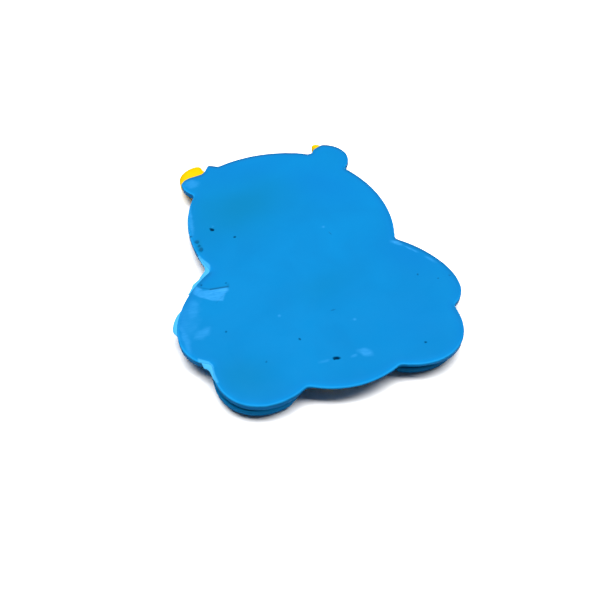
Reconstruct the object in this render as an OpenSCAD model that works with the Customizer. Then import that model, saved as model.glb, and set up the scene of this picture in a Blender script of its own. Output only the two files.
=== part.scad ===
// Flat soft-rubber eraser in the shape of a sitting bear, lying on its face.
// +Z is up, +Y is towards the head, and the flat back of the bear is on top.
// Each colour and each raised area is a filling of its own under one back sheet.

/* [Thickness] */
// Whole thickness, from the table to the flat back
total_h = 3; // [2.8:0.1:5]
// Thickness of the back sheet
sheet_h = 1.1; // [1:0.1:1.6]
// How far the yellow of the ears stands up into the sheet
ear_overfill = 0.6; // [0.2:0.1:0.8]
// Radius of the fillet in each notch of the outline
notch_r = 0.8; // [0.2:0.1:1]

/* [Head outline] */
// Centre of the head in X and Y
head_centre = [0.2, 8.2]; // [0:0.1:9]
// Half width and half height of the head
head_radii = [18.8, 21.5]; // [18:0.1:23]
// Lean of the head to the -X side, in degrees
head_lean = 10; // [0:1:12]
// Centre of the arc across the crown
crown_centre = [-1.1, 6.2]; // [-2:0.1:7]
// Radius of that arc
crown_r = 23.5; // [22:0.5:26]
// Half width of the crown between the ears
crown_half_w = 9.7; // [9:0.1:10]

/* [Ears] */
// Centre of the ear on the -X side
left_ear_centre = [-12.9, 24.1]; // [-13:0.1:25]
// Centre of the ear on the +X side
right_ear_centre = [12.1, 24.7]; // [11.5:0.1:25]
// Radius of an ear
ear_r = 5; // [4.6:0.1:5.2]
// Radius of the drop of yellow that ran out past the +X ear
spill_r = 1; // [0.6:0.1:1.1]

/* [Body outline] */
// Centre of the belly in X and Y
belly_centre = [0.5, -12]; // [-14:0.1:1]
// Half width and half height of the belly
belly_radii = [16.4, 18]; // [14:0.1:18]
// Centre of the arm on the -X side
left_arm_centre = [-13.5, -9.5]; // [-17:0.1:-9]
// Centre of the arm on the +X side
right_arm_centre = [14, -9.2]; // [-11:0.1:17]
// Half length and half width of the arm on the -X side
left_arm_radii = [12.9, 8.4]; // [6:0.1:13]
// Half length and half width of the arm on the +X side
right_arm_radii = [12.4, 7.6]; // [6:0.1:13]
// Lean of an arm away from the body, in degrees
arm_lean = 49; // [45:1:60]
// Centre of the leg on the -X side
left_leg_centre = [-10.9, -20.8]; // [-21.5:0.1:-10]
// Half length and half width of the leg on the -X side
left_leg_radii = [9.8, 8.2]; // [8:0.1:10]
// Centre of the leg on the +X side
right_leg_centre = [10.3, -18.7]; // [-21:0.1:11]
// Half length and half width of the leg on the +X side
right_leg_radii = [11.6, 9.3]; // [8.2:0.1:12]
// Lean of a leg towards its foot, in degrees
leg_lean = 44; // [15:1:45]

/* [Face side] */
// How far the moulded face is out of line with the back sheet, in X and Y
misalignment = [-0.4, -0.2]; // [-0.4:0.1:0.4]
// How far the raised areas stay inside the edge of the back sheet, before they are shifted
edge_inset = 0.5; // [0.5:0.1:0.8]
// Width of the groove between two raised areas
groove = 0.6; // [0.4:0.1:1]
// How much higher the head, arms and ears stay than the feet and muzzle
face_step = 0.3; // [0.1:0.1:0.4]
// Depth of a colour that is let into another one
inlay_h = 0.5; // [0.3:0.1:0.6]
// Rounding of the lower rim of a raised area
rim_r = 0.5; // [0.2:0.1:0.6]

/* [Hidden] */
$fn = 72;

blue = [0.09, 0.58, 0.88];
yellow = [1, 0.88, 0];
black = [0.06, 0.06, 0.07];
white = [0.96, 0.96, 0.94];

left = -1;
right = 1;
relief_top = total_h - sheet_h;
rim_steps = 2;

// The ears of the sheet were never filled beyond these lines
left_unfilled = [
    [-20, 24.2], [-17.8, 24.4], [-17.2, 25.3], [-16, 25.9], [-13.4, 26.4], [-12.7, 27.2], [-11.8, 28.9],
    [-11.6, 32], [-20, 32],
];
right_unfilled = [
    [7.4, 28.5], [8.6, 27.5], [9.4, 27.1], [10.2, 27.4], [10.8, 28.4], [12.1, 29.2], [13.4, 29.8], [13.4, 32],
    [7.4, 32],
];

// Where the yellow of each ear lies, and the nick that it leaves beside the crown
left_fill_centre = left_ear_centre + [-0.7, 1.2];
right_fill_centre = right_ear_centre + [0.3, 0.1];
ear_fill_r = ear_r - 0.5;
left_nick_place = [-11.2, 29];
right_nick_place = [9, 28.5];
nick_r = 1.9;
ear_round = 0.9;
spill_place = [11.8, 29.7];
spill_h = 0.4;

// Raised areas, from the centre line of the face side
face_place = [0, 8.4];
face_radii = [17.8, 20.2];
jaw_place = [0, 20];
jaw_r = 22.4;
cheek_round = 4;
tummy_place = [0, -14.8];
tummy_radii = [9.8, 12];
arm_place = [16.9, -10.6];
arm_fill_radii = [8.6, 5];
foot_place = [13, -23];
foot_radii = [6.6, 6.8];

// Small colours let into them
muzzle_place = [0, 6.4];
muzzle_radii = [7.4, 5.6];
nose_place = [0, 8.8];
nose_radii = [2.4, 1.6];
smile_place = [1.7, 6.2];
smile_r = 1.7;
smile_w = 0.7;
eye_place = [7.6, 14.8];
eye_r = 2;
glint_place = [8.2, 15.5];
glint_r = 0.6;
pad_place = [13, -24.3];
pad_radii = [3, 2.3];
toe_ring_r = 4.3;
toe_r = 0.85;
toe_spread = 36;

// ---- outlines -----------------------------------------------------------

module ellipse(centre, radii, lean = 0) {
    translate(centre) rotate(lean) scale(radii) circle(r = 1);
}

// A shape drawn for the +X side, put on either side of the face
module on_side(side) {
    translate(misalignment) scale([side, 1]) children();
}

module crown_outline() {
    intersection() {
        translate(crown_centre) circle(r = crown_r);
        translate([-crown_half_w, 0]) square([2 * crown_half_w, crown_centre.y + crown_r]);
    }
}

// The whole bear seen from behind, with its ears as far as they were filled
module sheet_outline() {
    offset(r = -notch_r) offset(r = notch_r) difference() {
        union() {
            ellipse(head_centre, head_radii, head_lean);
            crown_outline();
            translate(left_ear_centre) circle(r = ear_r);
            translate(right_ear_centre) circle(r = ear_r);
            ellipse(belly_centre, belly_radii);
            ellipse(left_arm_centre, left_arm_radii, arm_lean);
            ellipse(right_arm_centre, right_arm_radii, -arm_lean);
            ellipse(left_leg_centre, left_leg_radii, leg_lean);
            ellipse(right_leg_centre, right_leg_radii, -leg_lean);
        }
        polygon(left_unfilled);
        polygon(right_unfilled);
    }
}

// The edge of the moulded face side, which has shifted under the sheet
module cavity_outline() {
    translate(misalignment) offset(delta = -edge_inset) sheet_outline();
}

module face_outline() {
    offset(r = cheek_round) offset(delta = -cheek_round) intersection() {
        ellipse(face_place, face_radii);
        translate(jaw_place) circle(r = jaw_r);
    }
}

module foot_outline() {
    ellipse(foot_place, foot_radii);
}

// The tummy and the arms stop short of the face and the feet
module grooved() {
    difference() {
        children();
        offset(delta = groove) {
            face_outline();
            foot_outline();
            scale([-1, 1]) foot_outline();
        }
    }
}

module left_ear_outline() {
    offset(r = ear_round) offset(delta = -ear_round) difference() {
        translate(left_fill_centre) circle(r = ear_fill_r);
        translate(left_nick_place) circle(r = nick_r);
        offset(delta = groove) on_side(left) face_outline();
    }
}

module right_ear_outline() {
    offset(r = ear_round) offset(delta = -ear_round) difference() {
        translate(right_fill_centre) circle(r = ear_fill_r);
        translate(right_nick_place) circle(r = nick_r);
        offset(delta = groove) on_side(right) face_outline();
    }
}

module smile_outline() {
    intersection() {
        difference() {
            translate(smile_place) circle(r = smile_r + smile_w / 2);
            translate(smile_place) circle(r = smile_r - smile_w / 2);
        }
        translate([0, smile_place.y - 2 * smile_r]) square([4 * smile_r, 2 * smile_r]);
    }
}

module toe_outlines() {
    for (turn = [-toe_spread, 0, toe_spread])
        translate(pad_place) rotate(turn) translate([0, toe_ring_r]) circle(r = toe_r);
}

// ---- solids -------------------------------------------------------------

module slab(low, high) {
    translate([0, 0, low]) linear_extrude(height = high - low) children();
}

// A raised area from low up to high, with its lower rim rounded in steps
module raised(low, high) {
    step = rim_r / rim_steps;
    for (i = [0 : rim_steps - 1]) {
        fall = 1 - (i + 0.5) / rim_steps;
        inset = rim_r * (1 - sqrt(1 - fall * fall));
        slab(low + i * step, low + (i + 1) * step) offset(delta = -inset) children();
    }
    slab(low + rim_r, high) children();
}

module arm_outline(side) {
    intersection() {
        on_side(side) grooved() ellipse(arm_place, arm_fill_radii, -arm_lean);
        cavity_outline();
    }
}

module leg_outline(side) {
    intersection() {
        on_side(side) foot_outline();
        cavity_outline();
    }
}

module arm(side) {
    raised(face_step, relief_top) arm_outline(side);
}

module leg(side) {
    difference() {
        raised(0, relief_top) leg_outline(side);
        slab(0, inlay_h) on_side(side) {
            ellipse(pad_place, pad_radii);
            toe_outlines();
        }
    }
}

module eye(side) {
    difference() {
        slab(face_step, face_step + inlay_h) on_side(side)
            translate(eye_place) circle(r = eye_r);
        slab(face_step, face_step + inlay_h / 2) on_side(side)
            translate(glint_place) circle(r = glint_r);
    }
}

module glint(side) {
    slab(face_step, face_step + inlay_h / 2) on_side(side)
        translate(glint_place) circle(r = glint_r);
}

module foot_pad(side) {
    slab(0, inlay_h) on_side(side) ellipse(pad_place, pad_radii);
}

module toe_pads(side) {
    slab(0, inlay_h) on_side(side) toe_outlines();
}

// A thin tongue of yellow on top of the +X ear's filling
module spill() {
    slab(relief_top + ear_overfill - spill_h, relief_top + ear_overfill) difference() {
        translate(spill_place) circle(r = spill_r);
        translate(right_nick_place) circle(r = nick_r);
    }
}

// ---- sub-parts ----------------------------------------------------------

module back_sheet() {
    color(blue) difference() {
        slab(relief_top, total_h) sheet_outline();
        slab(relief_top, relief_top + ear_overfill) {
            left_ear_outline();
            right_ear_outline();
        }
        spill();
    }
}

module head() {
    color(blue) difference() {
        raised(face_step, relief_top) on_side(right) face_outline();
        slab(face_step, face_step + inlay_h) {
            on_side(right) ellipse(muzzle_place, muzzle_radii);
            on_side(left) translate(eye_place) circle(r = eye_r);
            on_side(right) translate(eye_place) circle(r = eye_r);
        }
    }
}

module left_ear() {
    color(yellow) raised(2 * face_step, relief_top + ear_overfill) left_ear_outline();
}

module right_ear() {
    color(yellow) {
        raised(2 * face_step, relief_top + ear_overfill) right_ear_outline();
        spill();
    }
}

module left_arm() {
    color(blue) arm(left);
}

module right_arm() {
    color(blue) arm(right);
}

module left_leg() {
    color(blue) leg(left);
}

module right_leg() {
    color(blue) leg(right);
}

module tummy() {
    color(yellow) raised(0, relief_top) on_side(right) grooved()
        ellipse(tummy_place, tummy_radii);
}

module muzzle() {
    color(yellow) difference() {
        slab(0, face_step + inlay_h) on_side(right) ellipse(muzzle_place, muzzle_radii);
        slab(0, inlay_h) on_side(right) ellipse(nose_place, nose_radii);
        slab(0, inlay_h) {
            on_side(left) smile_outline();
            on_side(right) smile_outline();
        }
    }
}

module nose() {
    color(black) slab(0, inlay_h) on_side(right) ellipse(nose_place, nose_radii);
}

module mouth() {
    color(black) slab(0, inlay_h) {
        on_side(left) smile_outline();
        on_side(right) smile_outline();
    }
}

module left_eye() {
    color(black) eye(left);
}

module right_eye() {
    color(black) eye(right);
}

module left_eye_glint() {
    color(white) glint(left);
}

module right_eye_glint() {
    color(white) glint(right);
}

module left_foot_pad() {
    color(yellow) foot_pad(left);
}

module right_foot_pad() {
    color(yellow) foot_pad(right);
}

module left_toe_pads() {
    color(yellow) toe_pads(left);
}

module right_toe_pads() {
    color(yellow) toe_pads(right);
}

back_sheet();
head();
left_ear();
right_ear();
left_arm();
right_arm();
left_leg();
right_leg();
tummy();
muzzle();
nose();
mouth();
left_eye();
right_eye();
left_eye_glint();
right_eye_glint();
left_foot_pad();
right_foot_pad();
left_toe_pads();
right_toe_pads();
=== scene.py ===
"""The looks of a flat bear-shaped rubber eraser that lies on its face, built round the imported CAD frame.

Shapes are worked out in millimetres in the row frame, and turned into metres when a mesh is made.
"""
import math

import bmesh
import bpy
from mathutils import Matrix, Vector, kdtree, noise
from mathutils.geometry import delaunay_2d_cdt


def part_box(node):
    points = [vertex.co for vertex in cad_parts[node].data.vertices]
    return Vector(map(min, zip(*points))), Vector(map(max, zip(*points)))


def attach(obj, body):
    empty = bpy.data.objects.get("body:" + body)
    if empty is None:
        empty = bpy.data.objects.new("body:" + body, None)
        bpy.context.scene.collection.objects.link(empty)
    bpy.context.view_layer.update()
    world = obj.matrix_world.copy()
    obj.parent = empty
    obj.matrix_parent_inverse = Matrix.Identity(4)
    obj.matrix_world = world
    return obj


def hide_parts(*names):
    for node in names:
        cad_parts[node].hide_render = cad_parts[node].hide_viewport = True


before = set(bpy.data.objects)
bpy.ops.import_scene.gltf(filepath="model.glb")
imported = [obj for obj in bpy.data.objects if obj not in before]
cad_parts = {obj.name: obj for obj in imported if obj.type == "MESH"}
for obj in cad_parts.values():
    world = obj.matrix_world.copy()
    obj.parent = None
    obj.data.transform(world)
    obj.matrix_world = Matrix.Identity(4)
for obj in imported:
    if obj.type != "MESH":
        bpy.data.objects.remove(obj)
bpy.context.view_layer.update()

MM = 0.001
BODY = "root"

# Distances in metres at which two of a node's points are one, and at which its faces are level
SAME_POINT = 1e-7
LEVEL = 1e-6


def node_box(node):
    """Lowest and highest corner of a CAD node, in millimetres."""
    low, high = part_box(node)
    return Vector(low) / MM, Vector(high) / MM


SHEET_LOW = node_box("back_sheet")[0].z
TOP = node_box("back_sheet")[1].z

# ---- outlines -------------------------------------------------------------

FEWEST_POINTS = 12
SPAN_POINTS = 8


def flat_loops(node):
    """The outlines of a CAD node's flat top, longest first, each counter-clockwise, in millimetres."""
    bm = bmesh.new()
    bm.from_mesh(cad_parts[node].data)
    bmesh.ops.remove_doubles(bm, verts=bm.verts, dist=SAME_POINT)
    level = max(v.co.z for v in bm.verts)
    flat = {f for f in bm.faces if all(level - v.co.z < LEVEL for v in f.verts)}
    after = {}
    for face in flat:
        for loop in face.loops:
            if sum(f in flat for f in loop.edge.link_faces) == 1:
                after[loop.vert] = loop.link_loop_next.vert
    loops = []
    while after:
        start, vert = after.popitem()
        chain = [start]
        while vert is not start:
            chain.append(vert)
            vert = after.pop(vert)
        loops.append([Vector((v.co.x / MM, v.co.y / MM)) for v in chain])
    bm.free()
    loops.sort(key=length, reverse=True)
    return loops


def length(loop):
    return sum((a - b).length for a, b in zip(loop, loop[1:] + loop[:1]))


def resampled(loop, step):
    """The closed loop with points about step apart."""
    count = max(FEWEST_POINTS, round(length(loop) / step))
    pitch = length(loop) / count
    points, walked, target = [], 0.0, 0.0
    for a, b in zip(loop, loop[1:] + loop[:1]):
        side = (b - a).length
        while target < walked + side and len(points) < count:
            points.append(a.lerp(b, (target - walked) / side))
            target += pitch
        walked += side
    return points


def smoothed(loop, passes):
    for _ in range(passes):
        loop = [(a + 2 * b + c) / 4 for a, b, c in zip(loop[-1:] + loop[:-1], loop, loop[1:] + loop[:1])]
    return loop


def outward(loop):
    """Unit normals that point out of a counter-clockwise loop."""
    sides = [(c - a).normalized() for a, c in zip(loop[-1:] + loop[:-1], loop[1:] + loop[:1])]
    return [Vector((side.y, -side.x)) for side in sides]


def spline(points):
    """A smooth closed curve through a few given points, with SPAN_POINTS from each to the next."""
    count = len(points)
    curve = []
    for i in range(count):
        a, b, c, d = (Vector(points[(i + k) % count]) for k in (-1, 0, 1, 2))
        for j in range(SPAN_POINTS):
            t = j / SPAN_POINTS
            curve.append(0.5 * (2 * b + (c - a) * t + (2 * a - 5 * b + 4 * c - d) * t ** 2
                                + (3 * b - a - 3 * c + d) * t ** 3))
    return curve


def wave(x, y, size, seed=0.0):
    """Smooth noise from -1 to 1 with features about size millimetres across."""
    return noise.noise(Vector((x / size, y / size, seed)))


# ---- moulded solids --------------------------------------------------------

WALL_WAVE = 1.7
SKIN_WELD = 1e-6
# How close a skin's points come to its edge, in spacings of the grid and of the edge's own points
GRID_CLEARANCE = 0.45
BAND_CLEARANCE = 0.6
# The height of a row of a staggered grid, in spacings
ROW_HEIGHT = 0.866
# The spacing of skins that are flat
FLAT_SPACING = 1.5


class Moulding:
    """A closed mesh in the making: its points in millimetres, its faces, and a few masks on its points."""

    MASKS = ("rim", "pit", "scuff", "stain", "thin", "edge", "shade")

    def __init__(self):
        self.points, self.faces, self.masks = [], [], []

    def add(self, x, y, z, **masks):
        self.points.append((x * MM, y * MM, z * MM))
        self.masks.append([masks.get(name, 0.0) for name in self.MASKS])
        return len(self.points) - 1

    def rings(self, loop, profile, masks, waviness=0.0, seed=0.0, undercut=None):
        """Rings of points round the loop, one for each (inset, height) of the profile, low to high.

        masks(p, n, height) gives a point's masks, where the loop's outward normal is n, and
        undercut(p, height) is how much further in the ring lies at a point of the loop.
        """
        normals = outward(loop)
        rings = []
        for inset, height in profile:
            ring = []
            for p, n in zip(loop, normals):
                extra = undercut(p, height) if undercut else 0.0
                q = p - n * (inset + extra + waviness * wave(p.x, p.y, WALL_WAVE, seed + height))
                ring.append((self.add(q.x, q.y, height, **masks(p, n, height)), q))
            rings.append(ring)
        for low, high in zip(rings, rings[1:]):
            for i in range(len(loop)):
                j = (i + 1) % len(loop)
                self.faces.append((low[i][0], low[j][0], high[j][0], high[i][0]))
        return rings

    def cap(self, ring, shape, spacing, up, finer=(), band=0.0):
        """Fills a ring with a dense skin, finer within band of its edge.

        shape(x, y, d, n) gives the height and masks at d from the edge, where the edge's outward
        normal is n.
        """
        edge = [p for _, p in ring]
        normals = outward(edge)
        nearest = edge_distance(edge)

        def gap(x, y):
            return nearest(x, y)[0]

        pitch = length(edge) / len(edge)
        clearance = max(band, spacing * GRID_CLEARANCE)
        inner = [p for p in scatter(edge, spacing, finer) if gap(p.x, p.y) > clearance]
        if band:
            inner += [p for p in scatter(edge, pitch, ()) if pitch * BAND_CLEARANCE < gap(p.x, p.y) <= band]
        count = len(edge)
        borders = [(i, (i + 1) % count) for i in range(count)]
        verts, _, faces, origin, _, _ = delaunay_2d_cdt(edge + inner, borders, [], 1, SKIN_WELD)
        known = {}
        for i in sorted({i for face in faces for i in face}):
            on_edge = [k for k in origin[i] if k < count]
            if on_edge:
                known[i] = ring[on_edge[0]][0]
            else:
                x, y = verts[i]
                d, k = nearest(x, y)
                height, masks = shape(x, y, d, normals[k])
                known[i] = self.add(x, y, height, **masks)
        for face in faces:
            indices = [known[i] for i in face]
            self.faces.append(tuple(indices if up else reversed(indices)))

    def make(self, name, material):
        mesh = bpy.data.meshes.new(name)
        mesh.from_pydata(self.points, [], self.faces)
        for i, mask in enumerate(self.MASKS):
            layer = mesh.attributes.new(mask, "FLOAT", "POINT")
            layer.data.foreach_set("value", [m[i] for m in self.masks])
        mesh.validate()
        mesh.shade_smooth()
        mesh.materials.append(material)
        piece = bpy.data.objects.new(name, mesh)
        bpy.context.scene.collection.objects.link(piece)
        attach(piece, BODY)
        return piece


def edge_distance(edge):
    """A function of (x, y) that gives its distance to a closed loop and the index of the nearest point."""
    tree = kdtree.KDTree(len(edge))
    for i, p in enumerate(edge):
        tree.insert((p.x, p.y, 0), i)
    tree.balance()

    def nearest(x, y):
        here = Vector((x, y))
        i = tree.find((x, y, 0))[1]
        near = []
        for a, b in ((edge[i - 1], edge[i]), (edge[i], edge[(i + 1) % len(edge)])):
            side = b - a
            t = min(1.0, max(0.0, (here - a).dot(side) / side.length_squared))
            near.append((here - a - side * t).length)
        return min(near), i

    return nearest


def scatter(edge, spacing, finer):
    """Points on a staggered grid over the edge's box, finer within each (x, y, radius, spacing)."""
    def grid(x0, y0, x1, y1, step, keep):
        rows = int((y1 - y0) / (step * ROW_HEIGHT)) + 1
        for row in range(rows + 1):
            y = y0 + row * step * ROW_HEIGHT
            for column in range(int((x1 - x0) / step) + 2):
                x = x0 + (column + 0.5 * (row % 2)) * step
                if keep(x, y):
                    yield Vector((x, y))

    def clear_of_patches(x, y):
        return all(math.hypot(x - px, y - py) > r for px, py, r, _ in finer)

    xs = [p.x for p in edge]
    ys = [p.y for p in edge]
    points = list(grid(min(xs), min(ys), max(xs), max(ys), spacing, clear_of_patches))
    for k, (px, py, r, step) in enumerate(finer):
        before = finer[:k]
        points += grid(px - r, py - r, px + r, py + r, step, lambda x, y: math.hypot(x - px, y - py) <= r
                       and all(math.hypot(x - qx, y - qy) > qr for qx, qy, qr, _ in before))
    return points


def quarter(radius, steps):
    """(inset, rise) pairs along a quarter round, from the wall to the flat."""
    return [(radius * (1 - math.cos(a)), radius * math.sin(a))
            for a in (math.pi / 2 * k / steps for k in range(1, steps + 1))]


# ---- marks in the back -----------------------------------------------------

# Air bubbles that burst at the back: x, y, half length, half width, lean in degrees, depth
PITS = [
    (-14.4, 9.6, 0.48, 0.30, -55, 0.42),
    (-1.2, -24.3, 0.60, 0.25, -8, 0.42),
    (-10.7, 6.5, 0.26, 0.20, 20, 0.20),
    (-16.5, -14.7, 0.20, 0.16, 80, 0.12),
    (-5.6, -19.3, 0.26, 0.17, -60, 0.16),
    (-11.7, -22.1, 0.24, 0.14, 60, 0.06),
    (13.2, -25.2, 0.22, 0.18, 0, 0.16),
    (17.8, -11.3, 0.26, 0.14, 60, 0.08),
    (20.8, -13.1, 0.20, 0.12, 0, 0.07),
    (23.0, -13.0, 0.20, 0.14, 0, 0.08),
    (-18.6, -3.7, 0.22, 0.18, 60, 0.14),
    (-14.5, -4.3, 0.16, 0.12, 0, 0.10),
    (-18.5, 8.6, 0.36, 0.30, 0, 0.24),
    (-17.6, 7.0, 0.48, 0.40, 90, 0.16),
    (-17.4, 5.9, 0.40, 0.28, 75, 0.13),
    (-17.2, 4.9, 0.66, 0.38, 80, 0.15),
    (-17.85, 2.3, 0.45, 0.14, 85, 0.16),
    (6.4, 2.7, 0.50, 0.10, -70, 0.04),
    (1.3, -15.0, 0.50, 0.14, 8, 0.04),
]
# The depth from which a pit is fully dark, and how dark one of no depth is
DEEP_PIT = 0.30
SHALLOW_PIT = 0.25

# Paler rubbed places: x, y, half length, half width, lean in degrees, strength
SCUFFS = [
    (-15.6, -5.9, 1.5, 0.7, 10, 1.0),
    (-20.8, -8.7, 2.4, 0.9, 75, 0.40),
    (-21.8, -10.5, 4.6, 1.7, 72, 0.22),
    (-20.1, -14.0, 1.5, 0.9, 25, 0.45),
    (-17.75, 13.6, 4.4, 0.45, 86, 0.50),
    (-22.9, -14.2, 3.4, 0.5, 96, 0.40),
    (3.5, -24.4, 1.3, 0.75, -30, 0.55),
    (1.6, -24.6, 0.6, 0.25, 10, 0.45),
    (-3.0, -24.3, 0.9, 0.22, 4, 0.35),
    (17.2, -2.9, 1.2, 0.45, -40, 0.65),
    (19.2, -5.3, 1.5, 0.16, -52, 0.60),
    (21.5, -8.6, 1.3, 0.28, -58, 0.45),
    (-15.9, 24.0, 1.5, 1.3, 0, 0.45),
    (5.6, 4.8, 0.25, 0.22, 0, 0.6),
    (-7.5, -13.9, 0.22, 0.2, 0, 0.6),
    (3.9, -17.8, 0.22, 0.2, 0, 0.6),
    (-14.0, 10.4, 0.5, 0.12, 40, 0.35),
]

# Greener, slightly darker places: x, y, half length, half width, lean in degrees, strength
STAINS = [
    (-8.0, 14.5, 10.0, 7.0, 20, 1.0),
    (-15.5, -24.0, 4.5, 3.5, -40, 0.6),
    (1.5, -9.5, 6.0, 3.0, 15, 0.35),
    (-17.4, 6.0, 2.2, 0.7, 82, 0.8),
]

# Bluer places: x, y, half length, half width, lean in degrees, strength
DEEP_SPOTS = [
    (9.0, 17.0, 9.0, 5.0, -40, 1.0),
    (18.5, -6.5, 6.0, 4.0, -50, 1.0),
    (14.0, -21.0, 7.0, 5.0, 20, 0.5),
    (-4.0, 25.0, 9.0, 4.0, 5, 0.9),
]

# A rubbed place with a torn edge, where the shoulder was knocked
TORN_SCUFF = [(-19.7, -3.5), (-18.9, -4.2), (-18.5, -5.0), (-17.3, -5.15), (-14.9, -5.2), (-14.2, -5.5),
              (-14.8, -6.3), (-15.2, -7.0), (-15.7, -8.1), (-16.7, -7.8), (-17.4, -7.6), (-18.4, -6.9),
              (-19.3, -6.3), (-20.3, -5.2)]

# Places at the edge so thin that light comes through
THIN_PLACES = [
    [(-21.6, -18.7), (-20.8, -19.2), (-20.1, -19.7), (-19.85, -20.5), (-19.85, -21.4), (-19.6, -22.6),
     (-19.4, -23.8), (-20.4, -24.0), (-22.0, -21.0)],
    [(-18.4, 3.5), (-17.8, 3.1), (-17.1, 2.0), (-16.55, 1.2), (-16.35, 0.6), (-16.4, 0.0), (-16.8, -0.6),
     (-17.6, -1.2), (-18.6, -2.3), (-19.5, -3.0), (-20.3, -4.2), (-19.0, 0.0)],
]

# Scratches with a sharp edge: x and y of both ends, half width, depth
CUTS = [
    (-17.3, -5.05, -14.3, -5.2, 0.16, 0.06),
    (-19.2, -4.0, -17.3, -5.05, 0.10, 0.03),
    (-14.2, -4.7, -14.3, -5.5, 0.20, 0.02),
    (-16.9, -8.3, -15.0, -6.6, 0.07, 0.015),
]

OUTLINE_STEP = 0.16
LIP_HEIGHT = 0.16
LIP_WIDTH = 0.36
RIM_ROUND = 0.18
# The side whose rims get a painted highlight
HIGHLIGHT_SIDE = Vector((-0.5, -0.87))
# The side whose rims get painted shade
SHADED_SIDE = Vector((0.35, 0.94))
EDGE_BAND = 1.3

# The waves in the back: height and size
SWELL_HEIGHT, SWELL_SIZE = 0.03, 9.0
RIPPLE_HEIGHT, RIPPLE_SIZE = 0.006, 2.1

# The skin of the back: its spacing, the width of the finer band at its edge, and the patches round the
# rubbed places that are finer still, as x, y, radius, spacing
BACK_SPACING = 0.42
BACK_BAND = 0.9
PIT_SPACING = 0.07
RUBBED_PATCHES = ((-16.6, -6.0, 3.6, 0.14), (2.8, -24.3, 2.2, 0.2), (18.6, -4.6, 2.4, 0.2))

# Where the wall of the sheet leans in towards its lower edge: x, y, half length, half width,
# lean in degrees, depth
UNDERCUTS = [
    (-0.5, -29.5, 7.0, 4.0, 0, 0.9),
    (10.0, -29.0, 4.5, 4.0, 10, 0.35),
]
# How much painted shade darkens the wall of the sheet, and its flat underside
WALL_SHADE = 0.24
GROOVE_SHADE = 0.6


def in_ellipse(x, y, mark):
    """How far (x, y) is out along an ellipse's radius: 0 at its middle, 1 on its edge."""
    cx, cy, long, short, lean = mark[:5]
    turn = math.radians(lean)
    dx, dy = x - cx, y - cy
    along = dx * math.cos(turn) + dy * math.sin(turn)
    across = dy * math.cos(turn) - dx * math.sin(turn)
    return math.hypot(along / long, across / short)


def from_cut(x, y, cut):
    """Distance from (x, y) to a cut's line."""
    start, end, here = Vector(cut[0:2]), Vector(cut[2:4]), Vector((x, y))
    side = end - start
    t = min(1.0, max(0.0, (here - start).dot(side) / side.length_squared))
    return (here - start - side * t).length


def pitting(x, y):
    """Depth and darkness of the burst bubbles and scratches at (x, y)."""
    depth, pit = 0.0, 0.0
    for mark in PITS:
        r = in_ellipse(x, y, mark) * (1 + 0.3 * wave(x, y, 0.35, mark[0]))
        if r < 1.8:
            bowl = 1 / (1 + math.exp((r - 0.85) * 8))
            depth += mark[5] * bowl
            pit = max(pit, bowl * min(1.0, SHALLOW_PIT + (1 - SHALLOW_PIT) * mark[5] / DEEP_PIT))
    for cut in CUTS:
        r = from_cut(x, y, cut) / cut[4]
        if r < 2.5:
            depth += cut[5] * math.exp(-r * r)
            pit = max(pit, math.exp(-r * r) * min(0.7, 12 * cut[5]))
    return depth, pit


def wear(x, y):
    """How rubbed, how stained and how thin the rubber is at (x, y)."""
    scuff = 0.0
    for mark in SCUFFS:
        r = in_ellipse(x, y, mark) + 0.35 * wave(x, y, 0.9, mark[1])
        scuff = max(scuff, mark[5] * min(1.0, max(0.0, (1.2 - r) / 0.6)))
    stain = 0.0
    for mark in STAINS:
        r = in_ellipse(x, y, mark) + 0.2 * wave(x, y, 5.0, mark[1])
        stain = max(stain, mark[5] * math.exp(-max(0.0, r) ** 2))
    torn = covered(x, y, TORN_SCUFF, 0.25) * (0.75 + 0.25 * wave(x, y, 0.8, 11.0))
    thin = max(covered(x, y, place, 0.25) for place in THIN_PLACES)
    return {"scuff": max(scuff, torn), "stain": stain, "thin": 0.65 * thin}


def deepness(x, y, d):
    """How much bluer the rubber is than in the middle: along its edge, and in a few places."""
    spots = (mark[5] * math.exp(-in_ellipse(x, y, mark) ** 2) for mark in DEEP_SPOTS)
    return max(math.exp(-(d / EDGE_BAND) ** 2), *spots)


def rim_look(x, y, d, n):
    """The rim's masks: a painted highlight along the edges that face the near side, and painted shade along
    the far edges.
    """
    pale = max(0.0, n.dot(HIGHLIGHT_SIDE))
    far_shade = max(0.0, n.dot(SHADED_SIDE) - 0.1)
    uneven = 1 + 0.5 * wave(x, y, 2.0, 7.0)
    # The band along the edge that carries the painted highlight
    highlight_band = math.exp(-(d / 0.14) ** 2) + 0.3 * math.exp(-(d / 0.9) ** 2)
    return {"rim": min(1.0, (0.1 + 0.9 * pale) * uneven * highlight_band),
            "shade": min(1.0, 0.75 * far_shade * uneven) * math.exp(-(d / 0.22) ** 2)}


def covered(x, y, corners, blur):
    """1 inside a polygon and 0 outside it, with an edge that is blur wide."""
    xs, ys = zip(*corners)
    if not (min(xs) - blur < x < max(xs) + blur and min(ys) - blur < y < max(ys) + blur):
        return 0.0
    here, inside, near = Vector((x, y)), False, math.inf
    for (ax, ay), (bx, by) in zip(corners, corners[1:] + corners[:1]):
        if (ay > y) != (by > y) and x < ax + (y - ay) * (bx - ax) / (by - ay):
            inside = not inside
        near = min(near, from_cut(x, y, (ax, ay, bx, by)))
    return min(1.0, max(0.0, 0.5 + (near if inside else -near) / blur))


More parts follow.
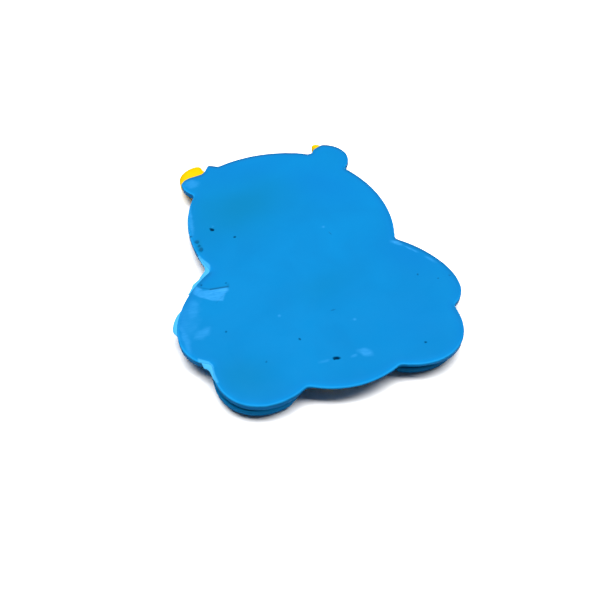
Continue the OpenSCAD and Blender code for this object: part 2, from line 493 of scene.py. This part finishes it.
def back_skin(x, y, d, n):
    """Height and masks of the flat back: a raised lip, slow waves, burst bubbles and rubbed places."""
    height = TOP + LIP_HEIGHT * math.exp(-(d / LIP_WIDTH) ** 2) - LIP_HEIGHT
    waves = SWELL_HEIGHT * wave(x, y, SWELL_SIZE, 3.0) + RIPPLE_HEIGHT * wave(x, y, RIPPLE_SIZE, 5.0)
    height += waves * min(1.0, d / 1.5)
    depth, pit = pitting(x, y)
    return height - depth, {"pit": pit, "edge": deepness(x, y, d), **wear(x, y), **rim_look(x, y, d, n)}


def wall_undercut(p, height):
    """How far the wall of the sheet leans in: most below the belly, and a little below the right foot."""
    lean = max(mark[5] * math.exp(-in_ellipse(p.x, p.y, mark) ** 4) for mark in UNDERCUTS)
    return lean * max(0.0, (TOP - RIM_ROUND - height) / (TOP - RIM_ROUND - SHEET_LOW))


def rim_masks(p, n, height):
    # Below the rounding the wall is darkened with painted shade
    if height < TOP - RIM_ROUND * 0.9:
        return {"edge": 1.0, "shade": WALL_SHADE}
    return {"pit": pitting(p.x, p.y)[1], "edge": 1.0, **wear(p.x, p.y), **rim_look(p.x, p.y, 0.0, n)}


def back_sheet(loop, material):
    """The sheet: its wall and rounded rim, the marked back, and a flat underside darkened with painted
    shade.
    """
    solid = Moulding()
    wall = [(0.06, SHEET_LOW), (0.02, SHEET_LOW + 0.05), (0.0, SHEET_LOW + 0.2),
            (0.0, (SHEET_LOW + TOP) / 2), (0.0, TOP - RIM_ROUND - 0.15), (0.0, TOP - RIM_ROUND)]
    rounding = [(inset, TOP - RIM_ROUND + rise) for inset, rise in quarter(RIM_ROUND, 5)]
    rings = solid.rings(loop, wall + rounding, rim_masks, waviness=0.04, undercut=wall_undercut)
    patches = tuple((x, y, max(long, short) * 1.6 + 0.1, PIT_SPACING) for x, y, long, short, *_ in PITS)
    solid.cap(rings[-1], back_skin, BACK_SPACING, True, patches + RUBBED_PATCHES, band=BACK_BAND)
    solid.cap(rings[0], lambda x, y, d, n: (SHEET_LOW, {"shade": GROOVE_SHADE}), FLAT_SPACING, False)
    piece = solid.make("back_sheet_rubber", material)
    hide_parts("back_sheet")


# ---- raised areas and let-in colours of the face side ------------------------


def pad(node, slot, material, rim, crown, lift=0.0, spread=0.0, step=0.22, spacing=0.6, painted_shade=0.0):
    """A domed filling that stands for a CAD node, with the node's outline and top and a rounded lower rim.

    rim is the radius of that rim, and crown is how far the dome rises. lift is how far its lowest point
    lies above the node's, spread is how much wider its outline is on each side, and the last argument sets
    how much painted shade darkens its wall.
    """
    low, high = node_box(node)
    low.z += lift
    solid = Moulding()
    for loop in flat_loops(node):
        loop = smoothed(resampled(loop, step), 3)
        depth = min(rim, (high.z - low.z) * 0.8)
        rounded = [(inset * rim / depth, low.z + crown + depth - rise) for inset, rise in quarter(depth, 6)]
        profile = [(inset - spread, min(z, high.z - 0.02)) for inset, z in reversed(rounded)]
        profile.append((-spread, high.z))
        # The wall is darkened with painted shade
        wall_masks = {"shade": painted_shade}
        rings = solid.rings(loop, profile, lambda p, n, height: wall_masks, waviness=0.01, seed=len(node))
        reach = max(1.0, min(high.x - low.x, high.y - low.y) / 2 * 0.6)

        def dome(x, y, d, n):
            fall = max(0.0, 1 - d / reach)
            return low.z + crown * fall * fall + 0.012 * wave(x, y, 3.0, low.x) * (1 - fall), {}

        solid.cap(rings[0], dome, spacing, False)
        solid.cap(rings[-1], lambda x, y, d, n: (high.z, {}), FLAT_SPACING, True)
    piece = solid.make(node + "_rubber", material)
    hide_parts(node)


# ---- flash -------------------------------------------------------------------

# Thin films of rubber that ran out over the edge of the mould: how far each lies below the rim, and its
# outer edge
FILMS = {
    "flash_left_arm": (0.14, [(-22.7, -8.4), (-23.4, -9.1), (-23.95, -10.0), (-24.35, -11.0),
                              (-24.6, -12.0), (-24.5, -12.8), (-24.15, -13.4), (-23.9, -14.3)]),
    "flash_left_foot": (0.05, [(-21.6, -18.95), (-21.3, -19.5), (-21.15, -20.2), (-21.0, -20.8),
                               (-20.6, -21.1), (-20.3, -21.7), (-20.15, -22.5), (-19.95, -23.4)]),
    "flash_left_neck": (0.05, [(-18.0, 3.2), (-17.75, 1.8), (-17.5, 0.8), (-17.35, 0.1), (-17.5, -0.6),
                               (-18.0, -1.3), (-18.6, -2.0)]),
    "flash_left_shoulder": (0.07, [(-18.2, -1.6), (-18.7, -2.2), (-19.3, -2.75), (-19.9, -3.2),
                                   (-20.35, -4.1), (-21.1, -5.3)]),
}
FILM_THICKNESS = 0.16
FILM_ROOT = 0.12
FILM_STEP = 0.12


def film_outline(points, sheet_loop):
    """The film's outer edge, closed by the sheet's outline beside it, moved inwards by FILM_ROOT."""
    normals = outward(sheet_loop)
    count = len(sheet_loop)
    first, last = (min(range(count), key=lambda i: (sheet_loop[i] - Vector(end)).length)
                   for end in (points[0], points[-1]))
    steps = (last - first) % count
    way = 1 if steps < count / 2 else -1
    root = [(first + way * k) % count for k in range(min(steps, count - steps) + 1)]
    edge = spline([points[0], *points, points[-1]])[SPAN_POINTS:SPAN_POINTS * len(points) + 1]
    loop = edge + [sheet_loop[i] - normals[i] * FILM_ROOT for i in reversed(root)]
    area = sum(a.x * b.y - b.x * a.y for a, b in zip(loop, loop[1:] + loop[:1]))
    return loop if area > 0 else loop[::-1]


def film(name, drop, points, sheet_loop, material):
    """A thin ragged film that runs out from the rim."""
    loop = resampled(film_outline(points, sheet_loop), FILM_STEP)
    top = TOP - drop
    thin = {"thin": 1.0}
    solid = Moulding()
    low = top - FILM_THICKNESS
    profile = [(0.05, low), (0.0, top - FILM_THICKNESS * 0.6), (0.0, top - 0.05), (0.04, top)]
    rings = solid.rings(loop, profile, lambda p, n, height: thin)
    solid.cap(rings[-1], lambda x, y, d, n: (top + 0.02 * wave(x, y, 1.2), thin), 0.3, True)
    solid.cap(rings[0], lambda x, y, d, n: (low, thin), 0.6, False)
    solid.make(name, material)


# ---- materials -----------------------------------------------------------------


class Graph:
    """Short calls for building a material's nodes."""

    def __init__(self, name):
        self.material = bpy.data.materials.new(name)
        self.material.use_nodes = True
        self.tree = self.material.node_tree
        self.shader = self.tree.nodes["Principled BSDF"]

    def node(self, kind, **settings):
        node = self.tree.nodes.new(kind)
        for key, value in settings.items():
            setattr(node, key, value)
        return node

    def join(self, source, target):
        self.tree.links.new(source, target)

    def noise(self, scale_mm, detail=2.0, distortion=0.0, stretch=(1.0, 1.0, 1.0)):
        """Noise from 0 to 1 with features about scale_mm across, fixed to the piece."""
        place = self.node("ShaderNodeTexCoord")
        mapping = self.node("ShaderNodeMapping")
        mapping.inputs["Scale"].default_value = stretch
        texture = self.node("ShaderNodeTexNoise")
        texture.inputs["Scale"].default_value = 1 / (scale_mm * MM)
        texture.inputs["Detail"].default_value = detail
        texture.inputs["Distortion"].default_value = distortion
        self.join(place.outputs["Object"], mapping.inputs["Vector"])
        self.join(mapping.outputs["Vector"], texture.inputs["Vector"])
        return texture.outputs["Fac"]

    def remap(self, value, from_low, from_high, to_low, to_high):
        node = self.node("ShaderNodeMapRange")
        limits = {"From Min": from_low, "From Max": from_high, "To Min": to_low, "To Max": to_high}
        for key, number in limits.items():
            node.inputs[key].default_value = number
        self.join(value, node.inputs["Value"])
        return node.outputs["Result"]

    def mask(self, name):
        return self.node("ShaderNodeAttribute", attribute_name=name).outputs["Fac"]

    def math(self, operation, a, b):
        node = self.node("ShaderNodeMath", operation=operation)
        for socket, value in zip(node.inputs, (a, b)):
            if isinstance(value, (int, float)):
                socket.default_value = value
            else:
                self.join(value, socket)
        return node.outputs[0]

    def mix(self, factor, a, b):
        """Colour a where the factor is 0, and b where it is 1."""
        node = self.node("ShaderNodeMix", data_type="RGBA")
        for key, value in (("A", a), ("B", b)):
            socket = next(s for s in node.inputs if s.name == key and s.type == "RGBA")
            if isinstance(value, tuple):
                socket.default_value = (*value, 1.0)
            else:
                self.join(value, socket)
        self.join(factor, node.inputs["Factor"])
        return next(s for s in node.outputs if s.type == "RGBA")


def rubber(name, base, dark, pale, stain=None, thin=None, edge=None, rim=None, specular=0.2):
    """Soft moulded rubber: its colour drifts, is darker in pits and paler where it is thin or rubbed; the
    rim mask paints a highlight and the shade mask paints shade.
    """
    g = Graph(name)
    drift = g.remap(g.noise(11.0, 3.0, 0.5), 0.35, 0.65, 0.0, 0.55)
    speckle = g.remap(g.noise(0.5, 2.0), 0.62, 0.80, 0.0, 0.2)
    colour = g.mix(g.math("ADD", drift, speckle), base, dark)
    colour = g.mix(g.math("MULTIPLY", g.mask("edge"), 0.8), colour, edge or base)
    colour = g.mix(g.mask("stain"), colour, stain or dark)
    streaks = g.remap(g.noise(0.5, 3.0, 0.8, stretch=(0.3, 1.5, 1.0)), 0.3, 0.7, 0.45, 1.0)
    colour = g.mix(g.math("MULTIPLY", g.mask("scuff"), streaks), colour, pale)
    # Painted highlight along the rims, strongest on the near side
    colour = g.mix(g.math("MULTIPLY", g.mask("rim"), 0.8), colour, rim or pale)
    colour = g.mix(g.mask("thin"), colour, thin or pale)
    # Painted shade where the shade mask is set: on the far rims, the walls and the flat underside
    colour = g.mix(g.mask("shade"), colour, tuple(c * 0.25 for c in dark))
    colour = g.mix(g.math("MULTIPLY", g.mask("pit"), 0.85), colour, tuple(c * 0.10 for c in dark))
    g.join(colour, g.shader.inputs["Base Color"])
    rough = g.remap(g.noise(4.0, 3.0), 0.3, 0.7, 0.50, 0.62)
    g.join(g.math("ADD", rough, g.math("MULTIPLY", g.mask("scuff"), 0.15)), g.shader.inputs["Roughness"])
    g.shader.inputs["Specular IOR Level"].default_value = specular
    grain = g.math("ADD", g.math("MULTIPLY", g.noise(0.22, 2.0), 0.4), g.noise(1.6, 2.0))
    bump = g.node("ShaderNodeBump")
    bump.inputs["Strength"].default_value = 0.3
    bump.inputs["Distance"].default_value = 0.03 * MM
    g.join(grain, bump.inputs["Height"])
    g.join(bump.outputs["Normal"], g.shader.inputs["Normal"])
    return g.material


def floor_material():
    g = Graph("white_table")
    colour = g.mix(g.remap(g.noise(60.0), 0.4, 0.6, 0.0, 1.0), (0.90, 0.90, 0.90), (0.92, 0.92, 0.92))
    g.join(colour, g.shader.inputs["Base Color"])
    g.shader.inputs["Roughness"].default_value = 0.9
    g.shader.inputs["Specular IOR Level"].default_value = 0.0
    return g.material


# ---- stage -------------------------------------------------------------------------

# In metres, apart from the angles in degrees and the light's power in watts
FLOOR_SIZE = 4.0
WORLD_STRENGTH = 0.04
LIGHT_SPOT = (0.15, 0.37, 1.15)
LIGHT_WIDTH = 2.4
LIGHT_DEPTH = 0.7
LIGHT_WATTS = 54.0
CAMERA_SPOT = Vector((-21.1, -74.4, 75.1 + TOP)) * MM
CAMERA_TILT = 49.0
CAMERA_TURN = -15.74


def camera():
    data = bpy.data.cameras.new("camera")
    data.lens = 36
    data.sensor_width = 36
    data.clip_start = 0.005
    data.clip_end = 20
    eye = bpy.data.objects.new("camera", data)
    eye.location = CAMERA_SPOT
    eye.rotation_euler = (math.radians(90 - CAMERA_TILT), 0, math.radians(CAMERA_TURN))
    bpy.context.scene.collection.objects.link(eye)
    bpy.context.scene.camera = eye


def softbox(name, spot, width, depth, watts):
    """A soft light that faces the eraser."""
    data = bpy.data.lights.new(name, "AREA")
    data.shape = "RECTANGLE"
    data.size = width
    data.size_y = depth
    data.energy = watts
    lamp = bpy.data.objects.new(name, data)
    lamp.location = spot
    lamp.rotation_euler = (-Vector(spot)).to_track_quat("-Z", "Y").to_euler()
    bpy.context.scene.collection.objects.link(lamp)


def stage():
    mesh = bpy.data.meshes.new("floor")
    half = FLOOR_SIZE / 2
    corners = [(-half, -half, 0), (half, -half, 0), (half, half, 0), (-half, half, 0)]
    mesh.from_pydata(corners, [], [(0, 1, 2, 3)])
    mesh.materials.append(floor_material())
    floor = bpy.data.objects.new("floor", mesh)
    bpy.context.scene.collection.objects.link(floor)
    world = bpy.data.worlds.new("studio")
    world.use_nodes = True
    world.node_tree.nodes["Background"].inputs["Color"].default_value = (1, 1, 1, 1)
    world.node_tree.nodes["Background"].inputs["Strength"].default_value = WORLD_STRENGTH
    bpy.context.scene.world = world
    bpy.context.scene.view_settings.view_transform = "Standard"
    softbox("back_light", LIGHT_SPOT, LIGHT_WIDTH, LIGHT_DEPTH, LIGHT_WATTS)


# ---- the eraser -----------------------------------------------------------------------

# The blue rubber's rim colour is a painted highlight
blue = rubber("blue_rubber", (0.0008, 0.140, 0.352), (0.0008, 0.122, 0.315), (0.028, 0.23, 0.53),
              stain=(0.0008, 0.122, 0.275), thin=(0.04, 0.28, 0.53), edge=(0.0008, 0.122, 0.335),
              rim=(0.006, 0.20, 0.47), specular=0.02)
yellow = rubber("yellow_rubber", (0.56, 0.37, 0.0), (0.50, 0.29, 0.0), (0.62, 0.47, 0.05), specular=0.03)
black = rubber("black_rubber", (0.012, 0.012, 0.014), (0.006, 0.006, 0.007), (0.05, 0.05, 0.055))
white = rubber("white_rubber", (0.80, 0.80, 0.77), (0.70, 0.70, 0.67), (0.88, 0.88, 0.86))

# How much wider each foot is than its node, and how much painted shade darkens its wall
LEG_WALLS = {"left": {"spread": 0.25, "painted_shade": 0.08}, "right": {"spread": 0.0, "painted_shade": 0.5}}

camera()
stage()
bear_outline = smoothed(resampled(flat_loops("back_sheet")[0], OUTLINE_STEP), 4)
back_sheet(bear_outline, blue)
for film_name, (film_drop, film_points) in FILMS.items():
    film(film_name, film_drop, film_points, bear_outline, blue)
pad("head", "blue_rubber", blue, rim=0.8, crown=0.25)
for side in ("left", "right"):
    pad(side + "_ear", "yellow_rubber", yellow, rim=0.8, crown=0.3)
    pad(side + "_arm", "blue_rubber", blue, rim=0.8, crown=0.3)
    pad(side + "_leg", "blue_rubber", blue, rim=0.45, crown=0.12, lift=0.15, **LEG_WALLS[side])
    pad(side + "_eye", "black_rubber", black, rim=0.15, crown=0.1, lift=-0.1)
    pad(side + "_eye_glint", "white_rubber", white, rim=0.08, crown=0.04, lift=-0.12, step=0.12)
    pad(side + "_foot_pad", "yellow_rubber", yellow, rim=0.15, crown=0.08)
    pad(side + "_toe_pads", "yellow_rubber", yellow, rim=0.12, crown=0.05, step=0.12, spacing=0.4)
pad("tummy", "yellow_rubber", yellow, rim=0.8, crown=0.3)
pad("muzzle", "yellow_rubber", yellow, rim=0.3, crown=0.2, lift=0.15)
pad("nose", "black_rubber", black, rim=0.15, crown=0.08, spacing=0.4)
pad("mouth", "black_rubber", black, rim=0.1, crown=0.03, step=0.12, spacing=0.3)
